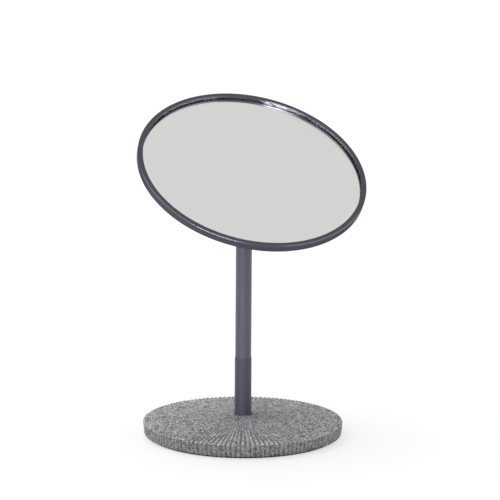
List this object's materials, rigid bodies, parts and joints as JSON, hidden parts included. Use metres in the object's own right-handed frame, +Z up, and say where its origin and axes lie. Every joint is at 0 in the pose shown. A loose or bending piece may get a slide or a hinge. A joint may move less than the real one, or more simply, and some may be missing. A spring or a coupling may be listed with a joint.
{
  "type": "extendable table mirror",
  "caption": "Round tilting mirror in a thin dark metal ring on a telescopic, swivelling pole with a heavy fluted stone base.",
  "frame": {"origin": "centre of the base pad's underside, on the table and on the pole's axis", "axes": "+Z up along the pole, -Y the way the mirror faces at rest, +X the tilt hinge's axis"},
  "size_m": [0.2, 0.1924, 0.2974],
  "materials": {
    "stone": "matt cast stone with a fine sandy grain, fluted",
    "graphite_metal": "graphite powder coat with a low satin sheen",
    "mirror_glass": "silvered flat glass",
    "fastener": "zinc plated, lightly brushed",
    "plated_steel": "zinc plated sheet",
    "nylon": "natural nylon",
    "black_plastic": "moulded black plastic",
    "pad": "closed cell foam rubber sheet",
    "foam": "double sided foam tape",
    "board": "hardboard",
    "gasket": "black glazing strip"
  },
  "bodies": {
    "base": {"base_disc": "stone", "base_pad": "pad", "base_bolt": "fastener", "lock_washer": "fastener", "spreader_washer": "fastener", "tube_plug": "plated_steel", "outer_tube": "graphite_metal"},
    "glide": {"friction_sleeve": "nylon"},
    "pole": {"inner_tube": "graphite_metal", "glide_plug": "black_plastic", "retaining_washer": "fastener", "sleeve_screw": "fastener", "hinge_post": "graphite_metal", "post_pin": "fastener"},
    "head": {"hinge_bracket": "graphite_metal", "friction_washers": "nylon", "pivot_screw": "fastener", "spring_washer": "fastener", "pivot_nut": "fastener", "bracket_screws": "fastener", "inner_plate": "plated_steel", "back_cover": "graphite_metal", "backing_board": "board", "foam_pads": "foam", "glass_gasket": "gasket", "mirror_glass": "mirror_glass", "frame_ring": "graphite_metal"}
  },
  "joints": [
    {"name": "pole_slide", "type": "slide", "parent": "base", "child": "glide", "axis": [0, 0, 1], "range_m": [-0.014, 0.014]},
    {"name": "pole_swivel", "type": "hinge", "parent": "glide", "child": "pole", "pos_m": [0, 0, 0.05], "axis": [0, 0, 1], "continuous": true},
    {"name": "head_tilt", "type": "hinge", "parent": "pole", "child": "head", "pos_m": [0, 0, 0.2084], "axis": [-1, 0, 0], "range_deg": [-60, 25]}
  ]
}
